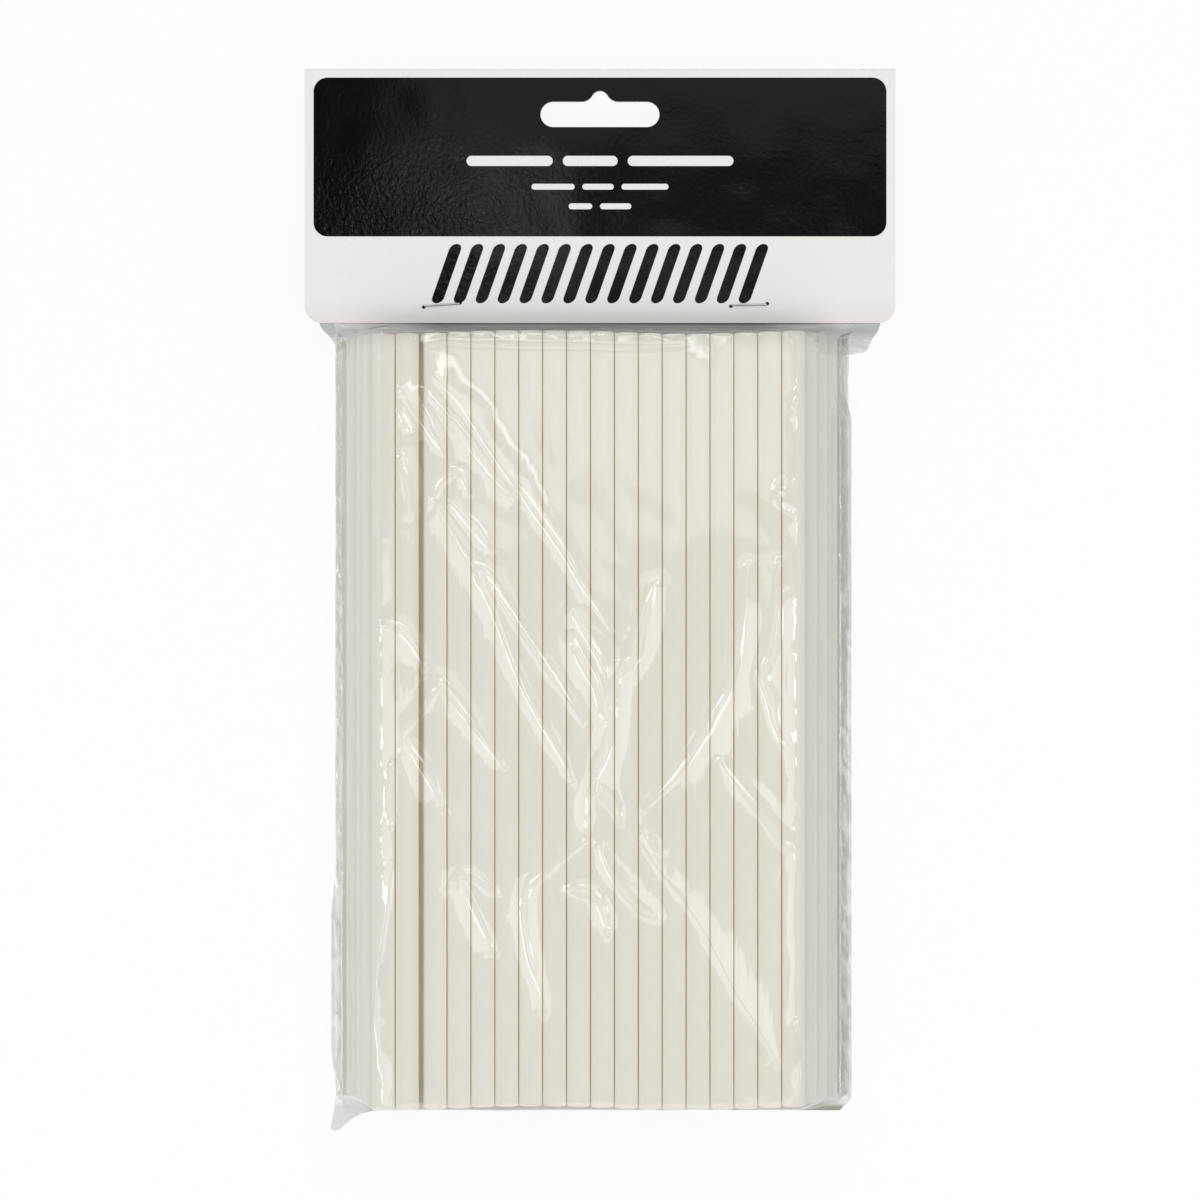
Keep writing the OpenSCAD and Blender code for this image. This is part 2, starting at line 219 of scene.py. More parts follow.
# The photograph's scale on the front film, and its middle, for the folds that are placed one by one
PX_PER_MM = 3.988
MIDDLE_PX = (600.1, 600.0)

# Folds in the front film: height, how far the ridge is pinched up, how wide the film slopes away on
# the left and on the right of the line, and the line's points in pixels of the photograph
FRONT_FOLDS = {
    "long diagonal": (0.5, 0.13, 9, 3, (
        (428, 370), (471, 413), (495, 453), (519, 486), (542, 518), (567, 554), (591, 597), (615, 636))),
    "shoulder diagonal": (0.3, 0.07, 5, 3, ((397, 384), (420, 413), (447, 459))),
    "hooked diagonal": (0.3, 0.10, 4, 6, (
        (424, 396), (446, 422), (471, 455), (495, 484), (515, 506), (520, 500), (514, 486))),
    "small loop": (0.3, 0.10, 3, 4, ((433, 501), (440, 485), (454, 473), (465, 480), (470, 500))),
    "loop tail": (0.3, 0.08, 6, 3, ((447, 499), (471, 526), (495, 556))),
    "loop foot": (0.25, 0.07, 3, 5, ((435, 508), (454, 541), (471, 568), (486, 587))),
    "left sweep": (0.4, 0.12, 7, 4, (
        (473, 564), (495, 606), (519, 675), (534, 707), (553, 742), (567, 767), (574, 784))),
    "middle sweep": (0.4, 0.12, 3, 7, (
        (479, 566), (495, 592), (519, 631), (543, 666), (567, 698), (586, 728))),
    "left hook": (0.3, 0.10, 4, 4, ((372, 623), (395, 627), (408, 638), (420, 656), (424, 667))),
    "left fork": (0.4, 0.12, 6, 4, (
        (400, 755), (402, 736), (410, 723), (427, 705), (438, 686), (447, 692), (465, 713), (495, 755),
        (504, 768))),
    "left sliver": (0.3, 0.14, 3, 3, ((393, 761), (389, 799), (391, 828))),
    "fork stem": (0.6, 0.16, 7, 5, (
        (567, 606), (591, 642), (609, 673), (611, 732), (605, 755), (594, 780), (589, 809), (588, 832))),
    "fork arm low": (0.6, 0.14, 3, 6, ((571, 635), (580, 656), (591, 677), (603, 694), (609, 720))),
    "fork arm right": (0.6, 0.16, 6, 4, (
        (657, 579), (644, 617), (638, 644), (636, 658), (625, 669), (612, 680), (609, 700))),
    "right sweep": (0.55, 0.12, 10, 4, (
        (749, 560), (742, 636), (732, 690), (719, 709), (710, 728), (686, 768), (663, 791), (640, 814))),
    "right edge": (0.5, 0.18, 4, 3, (
        (780, 560), (778, 617), (772, 654), (759, 675), (772, 705), (774, 723), (783, 749))),
    "low right": (0.45, 0.14, 5, 6, (
        (719, 759), (734, 782), (757, 809), (764, 818), (784, 845), (797, 847))),
    "short tick": (0.25, 0.10, 3, 3, ((642, 830), (657, 858))),
    "below the fork": (0.45, 0.16, 3, 4, ((597, 788), (605, 796), (614, 807), (619, 820))),
    "white wave": (0.45, 0.14, 4, 4, (
        (569, 889), (582, 890), (594, 893), (602, 903), (606, 918), (608, 932))),
    "left patch": (0.45, 0.14, 5, 6, ((405, 742), (416, 754), (428, 774), (440, 799))),
    "low left arch": (0.35, 0.10, 5, 4, ((448, 886), (460, 875), (471, 874), (483, 882), (498, 895))),
    "arch tail": (0.3, 0.10, 3, 6, ((462, 878), (471, 905), (488, 939), (494, 953))),
    "low middle": (0.4, 0.12, 6, 4, (
        (588, 840), (565, 857), (542, 874), (527, 888), (523, 911), (530, 955), (542, 993), (546, 1012))),
    "left edge": (0.3, 0.08, 4, 6, ((394, 855), (383, 936), (375, 993), (372, 1077))),
    "white band": (0.45, 0.12, 8, 4, ((600, 844), (611, 872), (634, 903), (657, 918))),
    "long faint": (0.35, 0.06, 10, 6, (
        (638, 840), (661, 874), (686, 903), (709, 939), (734, 991), (757, 1024), (778, 1062))),
    "right foot": (0.45, 0.18, 4, 3, ((797, 1024), (803, 1047), (799, 1073), (799, 1104))),
    "top line": (0.03, 0.30, 1.5, 1.5, (
        (424, 349), (444, 342), (470, 345), (495, 344), (530, 346), (560, 345), (618, 348), (691, 346))),
    "top tick": (0.25, 0.12, 3, 2, ((801, 382), (793, 411))),
    "top vee": (0.3, 0.08, 4, 4, ((782, 484), (774, 505), (801, 518))),
    "pucker": (0.25, 0.14, 2, 3, ((398, 407), (412, 434))),
    "long pucker": (0.25, 0.10, 3, 3, ((399, 453), (410, 491), (410, 524))),
}
# Folds in the back film, in millimetres from the middle of the pack
BACK_FOLDS = {
    "back diagonal": (0.16, 0.06, 8, 4, ((-50, 50), (-30, 22), (-6, -4), (20, -20))),
    "back sweep": (0.16, 0.06, 5, 8, ((48, 40), (36, 8), (22, -14), (10, -50), (14, -90))),
    "back left": (0.14, 0.06, 6, 4, ((-44, -20), (-36, -50), (-46, -84))),
    "back low": (0.14, 0.06, 6, 6, ((-20, -60), (-4, -86), (-10, -112))),
}
# How high the folds and their ridges stand for a height or a pinch of 1 in the tables
FOLD_LIFT = 1.7
RIDGE_LIFT = 0.9
# Spacing of the mesh's points along a fold and between the folds, and their distances from a fold
FOLD_STEP = 2.4
GRID_STEP = 2.2
END_STEP = 1.3
WELD_STEP = 0.75
# The welds' ears reach this far down the straight body, where the mesh has finer steps
EAR_ZONE = 5.0
EAR_STEP = 0.6
HIDDEN_STEP = 5.0
RIDGE_W = 0.35
RIDGE_LINES = (-1.5, -0.35, 0.35, 1.5)
# Least distance from a fold's outermost line to the points of the grid
FOLD_CLEAR = 0.7
# Height of the film's gentle waves and of its faint random creases, their spacing across and along
# the pack, and the length along it in which the creases move over by one spacing
WAVE_LIFT = 0.30
WAVE_SPACING = (15, 32)
CREASE_LIFT = 0.10
CREASE_SPACING = (8, 15)
CREASE_SLANT = 24
# The share of the upper end's run in which folds and waves die out, and the share of their height
# that is left where the film turns into the bottom fold
TOP_FADE = 0.6
FOOT_SHARE = 0.3
# How far the points are scattered, as a share of their spacing, how high the film crinkles in its
# welds and on its sides, and how much of the face's edge counts as a side
SCATTER = 0.3
WELD_CRINKLE = 0.16
SIDE_CRINKLE = 0.07
SIDE_EDGE = 2.0


def finer(points, step):
    """The points of a line, with more between them so that none is more than step apart."""
    line = []
    for a, b in zip(points, points[1:]):
        count = max(1, math.ceil(math.dist(a, b) / step))
        line += [mix(np.array(a), np.array(b), k / count) for k in range(count)]
    return np.array(line + [points[-1]])


def rounded(points):
    """The points of a line with its corners cut twice, so that it runs smoothly."""
    line = np.array(points, float)
    for _ in range(2):
        near, far = mix(line[:-1], line[1:], 0.25), mix(line[:-1], line[1:], 0.75)
        line = np.concatenate([line[:1], np.stack([near, far], axis=1).reshape(-1, 2), line[-1:]])
    return line


def front_place(px, py):
    return (px - MIDDLE_PX[0]) / PX_PER_MM, (MIDDLE_PX[1] - py) / PX_PER_MM


def back_place(x, y):
    return x, y


def unrolled(sheet, folds, to_face):
    """Folds with their lines as unrolled points of the sheet."""
    lines = []
    for *shape, points in folds.values():
        flat = [to_face(*p) for p in points]
        flat = [(sheet.face_left + x - sheet.xs[ARC_POINTS], y) for x, y in flat]
        lines.append((*shape, finer(rounded(flat), FOLD_STEP)))
    return lines


def fold_heights(spots, folds):
    """How far the folds raise the sheet at unrolled spots, and each spot's distance from the nearest."""
    rise = np.zeros(len(spots))
    nearest = np.full(len(spots), 1e9)
    for height, pinch, left_w, right_w, line in folds:
        last = len(line) - 1
        best = np.full(len(spots), 1e9)
        signed = np.zeros(len(spots))
        place = np.zeros(len(spots))
        for k in range(last):
            a, step = line[k], line[k + 1] - line[k]
            offset = spots - a
            along = np.clip(offset @ step / (step @ step), 0, 1)
            distance = np.linalg.norm(offset - along[:, None] * step, axis=1)
            closer = distance < best
            turn = step[0] * offset[:, 1] - step[1] * offset[:, 0]
            best = np.where(closer, distance, best)
            signed = np.where(closer, np.sign(turn), signed)
            place = np.where(closer, (k + along) / last, place)
        taper = np.sin(math.pi * place) ** 0.5
        width = np.where(signed > 0, left_w, right_w)
        slope = np.clip(1 - best / width, 0, 1) ** 2
        ridge = np.clip(1 - best / RIDGE_W, 0, 1)
        rise += taper * (FOLD_LIFT * height * slope + RIDGE_LIFT * pinch * ridge)
        nearest = np.minimum(nearest, best)
    return rise, nearest


def waves(spots, seed):
    """Gentle waves and faint random creases of the film between its folds."""
    heights = []
    for q, v in spots:
        broad = noise.noise(Vector((q / WAVE_SPACING[0], v / WAVE_SPACING[1], seed)))
        aslant = q / CREASE_SPACING[0] + v / CREASE_SLANT
        crease = 1 - 2 * abs(noise.noise(Vector((aslant, v / CREASE_SPACING[1], seed + 7))))
        heights.append(WAVE_LIFT * broad + CREASE_LIFT * crease)
    return np.array(heights)


def steps_between(low, high, step):
    """Places from low up to high, without high itself, that are about step apart."""
    return np.linspace(low, high, max(1, round((high - low) / step)), endpoint=False)


def grid_spots(sheet, rng):
    """Spots of the sheet on a loose grid, each with how rough the film is there: crinkled in the
    welds, puckered round the corners and over the ends, and smooth on the face."""
    throat = body_top + END_RUN
    levels = np.concatenate([steps_between(sheet.foot, body_foot, END_STEP),
                             steps_between(body_foot, body_top - EAR_ZONE, GRID_STEP),
                             steps_between(body_top - EAR_ZONE, body_top, EAR_STEP),
                             steps_between(body_top, throat, END_STEP),
                             steps_between(throat, sheet.mouth, HIDDEN_STEP),
                             [sheet.mouth]])
    right_edge = sheet.width + UNROLLED_WELD
    columns = np.concatenate([steps_between(-UNROLLED_WELD, 0, WELD_STEP),
                              steps_between(0, sheet.face_left, GRID_STEP),
                              steps_between(sheet.face_left, sheet.face_right, GRID_STEP),
                              steps_between(sheet.face_right, sheet.width, GRID_STEP),
                              steps_between(sheet.width, right_edge, WELD_STEP),
                              [right_edge]])
    spots = []
    for v in levels:
        fixed_row = v in (sheet.foot, throat, sheet.mouth)
        for q in columns:
            in_weld = q <= 0 or q >= sheet.width
            on_side = q < sheet.face_left + SIDE_EDGE or q > sheet.face_right - SIDE_EDGE
            shift_q = 0 if in_weld else rng.uniform(-SCATTER, SCATTER) * GRID_STEP
            shift_v = 0 if fixed_row or in_weld else rng.uniform(-SCATTER, SCATTER) * EAR_STEP
            rough = WELD_CRINKLE if in_weld else SIDE_CRINKLE if on_side else 0.0
            spots.append((q + shift_q, v + shift_v, rough * rng.uniform(-1, 1)))
    return np.array(spots)


def crumpled_sheet(sheet, folds, to_face, seed):
    """Points and faces of a sheet of film, with mesh lines along its folds so that they stay sharp."""
    rng = random.Random(seed)
    folds = unrolled(sheet, folds, to_face)
    spots = grid_spots(sheet, rng)
    spots = spots[fold_heights(spots[:, :2], folds)[1] > RIDGE_LINES[-1] + FOLD_CLEAR]
    points = [Vector(s[:2]) for s in spots]
    edges = []
    for fold in folds:
        line = fold[-1]
        along = np.gradient(line, axis=0)
        across = np.stack([-along[:, 1], along[:, 0]], axis=1)
        across /= np.linalg.norm(across, axis=1, keepdims=True)
        first = len(points)
        points += [Vector(p) for p in line]
        edges += [(first + k, first + k + 1) for k in range(len(line) - 1)]
        for distance in RIDGE_LINES:
            points += [Vector(p) for p in (line + across * distance)[1:-1]]
    flat, _, faces, _, _, _ = delaunay_2d_cdt(points, edges, [], 0, 1e-3)
    flat = np.array([tuple(p) for p in flat])
    crinkle = {(round(q, 2), round(v, 2)): rough for q, v, rough in spots}
    rough = np.array([crinkle.get((round(q, 2), round(v, 2)), 0) for q, v in flat])
    rise = fold_heights(flat, folds)[0] + waves(flat, seed) + rough
    over_top = np.clip(1 - (flat[:, 1] - body_top) / (TOP_FADE * END_RUN), 0, 1)
    over_foot = np.clip(1 - (body_foot - flat[:, 1]) / END_RUN, 0, 1)
    rise = rise * over_top * mix(FOOT_SHARE, 1, over_foot)
    places = sheet.raised(flat[:, 0], flat[:, 1], rise)
    if sheet.side < 0:
        faces = [face[::-1] for face in faces]
    return places, faces


def make_film():
    """The bag: a front and a back film that meet in the welds and in the bottom fold."""
    front = crumpled_sheet(Sheet(1), FRONT_FOLDS, front_place, 3)
    back = crumpled_sheet(Sheet(-1), BACK_FOLDS, back_place, 5)
    points = np.concatenate([front[0], back[0]]) * MM
    points[:, 2] = np.maximum(points[:, 2], 0)
    shift = len(front[0])
    faces = [tuple(face) for face in front[1]]
    faces += [tuple(i + shift for i in face) for face in back[1]]
    mesh = bpy.data.meshes.new("film_bag")
    mesh.from_pydata(points.tolist(), [], faces)
    mesh.validate()
    mesh.shade_smooth()
    film = bpy.data.objects.new("film_bag", mesh)
    bpy.context.scene.collection.objects.link(film)
    return film


class Graph:
    """A material's nodes, with short ways to add and link them."""

    def __init__(self, name):
        self.material = bpy.data.materials.new(name)
        self.material.use_nodes = True
        self.tree = self.material.node_tree
        self.tree.nodes.clear()
        self.output = self.tree.nodes.new("ShaderNodeOutputMaterial")

    def add(self, kind, inputs=None, **settings):
        node = self.tree.nodes.new("ShaderNode" + kind)
        for name, value in settings.items():
            setattr(node, name, value)
        for name, value in (inputs or {}).items():
            self.put(node.inputs[name], value)
        return node

    def put(self, socket, value):
        """Links a socket to another one, or sets it to a plain value."""
        if isinstance(value, bpy.types.NodeSocket):
            self.tree.links.new(value, socket)
        else:
            socket.default_value = value

    def math(self, operation, *values, clamp=False):
        node = self.add("Math", operation=operation, use_clamp=clamp)
        for socket, value in zip(node.inputs, values):
            self.put(socket, value)
        return node.outputs[0]

    def vector(self, operation, *values):
        node = self.add("VectorMath", operation=operation)
        for socket, value in zip(node.inputs, values):
            self.put(socket, value)
        return node.outputs[1 if operation in ("LENGTH", "DISTANCE", "DOT_PRODUCT") else 0]

    def noise(self, vector, scale, detail=2.0, distortion=0.0):
        inputs = {"Vector": vector, "Scale": scale, "Detail": detail, "Distortion": distortion}
        return self.add("TexNoise", inputs).outputs["Fac"]

    def between(self, value, low, high, to_low=0.0, to_high=1.0):
        """Value moved from the range low to high to another range, and held inside it."""
        inputs = {"Value": value, "From Min": low, "From Max": high, "To Min": to_low, "To Max": to_high}
        return self.add("MapRange", inputs).outputs["Result"]

    def between_mm(self, value, low, high, to_low=0.0, to_high=1.0):
        """As between, for a place in metres and a range in millimetres."""
        return self.between(value, low * MM, high * MM, to_low, to_high)

    def colour(self, share, first, second):
        node = self.add("Mix", data_type="RGBA")
        sockets = (node.inputs[0], node.inputs[6], node.inputs[7])
        for socket, value in zip(sockets, (share, first, second)):
            self.put(socket, value)
        return node.outputs[2]

    def bump(self, height, strength, distance):
        inputs = {"Height": height, "Strength": strength, "Distance": distance}
        return self.add("Bump", inputs).outputs["Normal"]

    def finish(self, shader):
        self.tree.links.new(shader, self.output.inputs["Surface"])
        return self.material


def grey(level):
    return (level, level, level, 1)


# Where the film's painted shade begins and ends, in millimetres: across the pack at both sides, across
# its left end for the dark line along the bottom fold, and, under the card, by distance from the pack's
# middle and, towards the face and towards the end wall, by distance from the card's level
LEFT_SHADE_TINT = (-52.0, -57.2)
RIGHT_SHADE_TINT = (48.0, 52.7)
BOTTOM_FOLD_SHADE = (-60.0, -56.0)
CARD_SHADE_OUT = (62.0, 42.0)
CARD_SHADE_FACE = (14.0, 11.0)
CARD_SHADE_WALL = (8.0, 10.5)


def film_material():
    """Clear film with painted shade: grey along the pack's sides, more on the right, and dark grey
    under the card, where the card shades it and the straws' ends; its welds, ears and bottom fold are
    grey, partly the film's own grey and partly painted shade."""
    g = Graph("clear film")
    place = g.add("TexCoord").outputs["Object"]
    split = g.add("SeparateXYZ", {0: place})
    outward = g.math("ABSOLUTE", split.outputs[0])
    stretched = g.vector("MULTIPLY", place, (220.0, 50.0, 220.0))
    ripple = g.bump(g.noise(stretched, 1.0, 2.0, 0.6), 0.2, 0.0003)
    facing = g.add("LayerWeight", {"Blend": 0.5, "Normal": ripple}).outputs["Facing"]
    gloss_share = g.math("MULTIPLY_ADD", g.math("POWER", facing, 5.0), 0.93, 0.07)

    tint = g.colour(g.between(facing, 0.3, 1.0), (0.995, 0.995, 0.99, 1), (0.93, 0.94, 0.925, 1))
    # Painted shade on the film along both sides of the pack, darker on the right, where the straws behind
    # lie in shadow
    left_side_shade = g.between_mm(split.outputs[0], *LEFT_SHADE_TINT)
    right_side_shade = g.between_mm(split.outputs[0], *RIGHT_SHADE_TINT)
    tint = g.colour(left_side_shade, tint, (0.94, 0.945, 0.935, 1))
    tint = g.colour(right_side_shade, tint, (0.885, 0.89, 0.88, 1))
    left_end = left_back[0] - STRAW_R
    right_end = right_back[0] + STRAW_R
    # The welds, the ears and the bottom fold are grey, partly the welded film's own grey and partly
    # painted shade
    left_weld = g.between_mm(split.outputs[0], left_end + 0.6, left_end + 0.1)
    right_weld = g.between_mm(split.outputs[0], right_end - 0.6, right_end - 0.1)
    toe = g.between_mm(split.outputs[1], bag_foot + 1.5, bag_foot + 0.5)
    weld_grey_and_shade = g.math("MAXIMUM", left_weld, toe)
    tint = g.colour(weld_grey_and_shade, tint, (0.83, 0.845, 0.83, 1))
    tint = g.colour(right_weld, tint, (0.82, 0.835, 0.825, 1))
    # Painted shade: a dark line along the bottom fold, fading out at its left end
    bottom_fold_shade = g.math("MULTIPLY",
                         g.between_mm(split.outputs[1], bag_foot + 1.3, bag_foot + 0.5),
                         g.between_mm(split.outputs[0], *BOTTOM_FOLD_SHADE))
    tint = g.colour(bottom_fold_shade, tint, (0.55, 0.54, 0.49, 1))
    # Painted shade under the card: dark grey streaks on the film where the card shades it and the straws'
    # ends behind it, fading away from the card's level, with less gloss there
    streaks = g.noise(g.vector("MULTIPLY", place, (45.0, 1400.0, 300.0)), 1.0, 2.0, 0.4)
    painted_card_shade = g.colour(g.between(streaks, 0.3, 0.7), (0.01, 0.01, 0.008, 1), (0.27, 0.265, 0.24, 1))
    from_throat = g.math("ABSOLUTE", g.math("SUBTRACT", split.outputs[2], card_z * MM))
    card_shade_share = g.math("MULTIPLY",
                        g.between_mm(split.outputs[1], straws_top, straws_top + 1.0),
                        g.between_mm(outward, *CARD_SHADE_OUT, 0.16, 1.0))
    card_shade_fade = g.math("MINIMUM",
                      g.between_mm(from_throat, *CARD_SHADE_FACE, 0.68, 0.85),
                      g.between_mm(from_throat, *CARD_SHADE_WALL, 0.72, 1.0))
    card_shade_share = g.math("MULTIPLY", card_shade_share, card_shade_fade)
    tint = g.colour(card_shade_share, tint, painted_card_shade)
    shaded = g.between_mm(split.outputs[1], straws_top - 4.0, straws_top + 0.5, 0.0, 0.14)
    tint = g.colour(shaded, tint, (0.2, 0.2, 0.18, 1))
    gloss_share = g.math("MULTIPLY", gloss_share, g.between(card_shade_share, 0.0, 1.0, 1.0, 0.15))

    clear = g.add("BsdfTransparent", {"Color": tint}).outputs[0]
    gloss = g.add("BsdfGlossy", {"Color": grey(0.95), "Roughness": 0.06, "Normal": ripple}).outputs[0]
    haze = g.add("BsdfDiffuse", {"Color": (0.85, 0.86, 0.84, 1), "Normal": ripple}).outputs[0]
    haze_share = g.between(facing, 0.1, 1.0, 0.02, 0.12)
    body = g.add("MixShader", {0: haze_share, 1: clear, 2: haze}).outputs[0]
    shader = g.add("MixShader", {0: gloss_share, 1: body, 2: gloss}).outputs[0]
    return g.finish(shader)


# Distance along a straw in which its helical seam goes round once
SEAM_PITCH = 42.0


def painted_joint_light_shares(g, place, sideways):
    """How far a spot faces a neighbouring straw, where warm shade is painted, and how far it lies under
    the front row, where warm light is painted. Both are 0 at the ends and on the outer sides of the
    bundle."""
    spot = g.add("SeparateXYZ", {0: place})
    inside = 1.0
    for back, front, side in ((left_back, left_front, 1), (right_back, right_front, -1)):
        lean = (front[0] - back[0]) / (front[1] - back[1])
        edge = g.math("MULTIPLY_ADD", spot.outputs[2], lean, (back[0] - lean * back[1]) * MM)
        from_edge = g.math("MULTIPLY", g.math("SUBTRACT", spot.outputs[0], edge), side)
        inside = g.math("MULTIPLY", inside, g.between_mm(from_edge, 1, 2))
    painted_seam_shade = g.between(sideways, 0.94, 0.99)
    under = g.between_mm(spot.outputs[2], front_level - 0.1, front_level - 0.6)
    from_foot = g.between_mm(spot.outputs[1], straws_foot + 1, straws_foot + 8)
    from_top = g.between_mm(spot.outputs[1], straws_top - 1, straws_top - 8)
    inside = g.math("MULTIPLY", inside, g.math("MULTIPLY", from_foot, from_top))
    return g.math("MULTIPLY", inside, painted_seam_shade), g.math("MULTIPLY", inside, under)


def straw_material():
    """Rolled white paper, with a fine helical seam and each straw a little different, and painted shade
    and light on crowns, flanks and joints.
    """
    g = Graph("white paper")
    coordinates = g.add("TexCoord")
    place = coordinates.outputs["Object"]
    normal = coordinates.outputs["Normal"]
    axis = g.vector("SUBTRACT", place, g.vector("MULTIPLY", normal, (STRAW_R * MM,) * 3))
    axis = g.vector("MULTIPLY", axis, (1.0, 0.0, 1.0))
    each = g.noise(axis, 90.0, 0.0)
    split = g.add("SeparateXYZ", {0: normal})
    along = g.add("SeparateXYZ", {0: place}).outputs[1]
    angle = g.math("ARCTAN2", split.outputs[0], split.outputs[2])
    turns = g.math("ADD",
                   g.math("MULTIPLY", along, 1 / (SEAM_PITCH * MM)),
                   g.math("MULTIPLY", angle, 0.5 / math.pi))
    phase = g.math("FRACT", g.math("ADD", turns, g.math("MULTIPLY", each, 7.0)))
    from_seam = g.math("ABSOLUTE", g.math("SUBTRACT", phase, 0.5))
    seam = g.between(from_seam, 0.0, 0.012, 1.0, 0.0)
    fibre = g.noise(g.vector("MULTIPLY", place, (2600.0, 500.0, 2600.0)), 1.0, 3.0)
    cloud = g.noise(place, 60.0, 2.0)
    tone = g.math("ADD", g.math("MULTIPLY", fibre, 0.3), g.math("MULTIPLY", cloud, 0.35))
    tone = g.math("ADD", tone, g.math("MULTIPLY", each, 0.35), clamp=True)
    paper = g.colour(tone, (0.765, 0.747, 0.675, 1), (0.815, 0.798, 0.735, 1))
    paper = g.colour(g.math("MULTIPLY", seam, 0.10), paper, (0.6, 0.55, 0.45, 1))
    sideways = g.math("ABSOLUTE", split.outputs[0])
    painted_seam_shade, under = painted_joint_light_shares(g, place, sideways)
    # Painted shade darkens each straw's crown and painted light brightens its flanks, so that the straws
    # look flatter than the lamps make them
    painted_crown_shade = g.between(sideways, 0.65, 0.0, 0.0, 0.55)
    paper = g.colour(painted_crown_shade, paper, (0.72, 0.70, 0.62, 1))
    paper = g.colour(g.between(sideways, 0.6, 0.9), paper, (0.87, 0.85, 0.77, 1))
    # Painted warm shade where straws touch, and painted warm light on the straws under the front row
    paper = g.colour(painted_seam_shade, paper, (0.82, 0.64, 0.44, 1))
    paper = g.colour(under, paper, (1.0, 0.93, 0.77, 1))
    height = g.math("SUBTRACT", g.math("MULTIPLY", fibre, 0.5), seam)
    inputs = {"Base Color": paper, "Roughness": 0.62, "Specular IOR Level": 0.3,
              "Normal": g.bump(height, 0.2, 0.00005)}
    return g.finish(g.add("BsdfPrincipled", inputs).outputs[0])


# The printed front of the card: a black panel with pale bars, and slanted bars in the white band
CARD_TOP = card_high.y
PANEL_X = (-73.2, 73.2)
PANEL_Y = (CARD_TOP - 42.9, CARD_TOP - 2.3)
PANEL_R = 3.6
# Rows of pale bars: the level of their middle, their height, their widths and the gap between them
PALE_ROWS = (
    (CARD_TOP - 23.6, 2.6, (22, 14, 27), 2.6),
    (CARD_TOP - 30.2, 1.5, (11, 8, 12), 2.0),
    (CARD_TOP - 35.2, 1.5, (6, 8), 2.0),
)
# The slanted bars: their levels, number, pitch and width, and how far they lean over per length up
SLANTED_Y = (CARD_TOP - 60.0, CARD_TOP - 44.8)
SLANTED_COUNT = 15
SLANTED_PITCH = 5.6
SLANTED_W = 3.1
SLANT = 0.35
# Length of the straight part that is left in a bar's round end
BAR_FLAT = 0.01
# Half of the width in which the print's edges fade
PRINT_EDGE = 0.05


def soft_box(g, place, x_range, y_range, radius):
    """1 inside a box with round corners on the card's face, and 0 outside it."""
    centre = ((x_range[0] + x_range[1]) / 2 * MM, (y_range[0] + y_range[1]) / 2 * MM, 0.0)
    half = ((x_range[1] - x_range[0]) / 2 * MM, (y_range[1] - y_range[0]) / 2 * MM)
    inner = (half[0] - radius * MM, half[1] - radius * MM, 1.0)
    offset = g.vector("ABSOLUTE", g.vector("SUBTRACT", place, centre))
    outside = g.vector("MAXIMUM", g.vector("SUBTRACT", offset, inner), (0.0, 0.0, 0.0))
    distance = g.math("SUBTRACT", g.vector("LENGTH", outside), radius * MM)
    return g.between_mm(distance, -PRINT_EDGE, PRINT_EDGE, 1.0, 0.0)


def bar_row(g, place, y, height, widths, gap):
    """A centred row of round-ended bars of the given widths."""
    left = -(sum(widths) + gap * (len(widths) - 1)) / 2
    mask = 0.0
    for width in widths:
        y_range = (y - height / 2, y + height / 2)
        bar = soft_box(g, place, (left, left + width), y_range, height / 2 - BAR_FLAT)
        mask = g.math("MAXIMUM", mask, bar)
        left += width + gap
    return mask


def slanted_bars(g, place, y_range, count, pitch, thickness, slant):
    """A row of slanted round-ended bars, repeated at a pitch."""
    split = g.add("SeparateXYZ", {0: place})
    middle_y = (y_range[0] + y_range[1]) / 2 * MM
    up = g.math("SUBTRACT", split.outputs[1], middle_y)
    shifted = g.math("SUBTRACT", split.outputs[0], g.math("MULTIPLY", up, slant))
    number = g.math("ROUND", g.math("DIVIDE", shifted, pitch * MM))
    within = g.math("SUBTRACT", shifted, g.math("MULTIPLY", number, pitch * MM))
    local = g.add("CombineXYZ", {0: within, 1: up, 2: 0.0}).outputs[0]
    half_h = (y_range[1] - y_range[0]) / 2
    x_range = (-thickness / 2, thickness / 2)
    bar = soft_box(g, local, x_range, (-half_h, half_h), thickness / 2 - BAR_FLAT)
    in_row = g.math("LESS_THAN", g.math("ABSOLUTE", number), (count - 1) / 2 + 0.5)
    return g.math("MULTIPLY", bar, in_row)


# Where the painted shade round a staple's leg, in its hole through the card, fades out, by distance from
# the leg
HOLE_SHADE_EDGE = (0.55, 0.4)


def leg_hole_shade(g, place):
    """1 round the staples' legs, where painted shade marks their holes through the card."""
    share = 0.0
    for name in ("staple_left", "staple_right"):
        low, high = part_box(name)
        for x, y in ((low.x, low.y), (high.x, high.y)):
            gap = g.vector("DISTANCE", place, (x, y, 0.0))
            share = g.math("MAXIMUM", share, g.between_mm(gap, *HOLE_SHADE_EDGE))
    return share


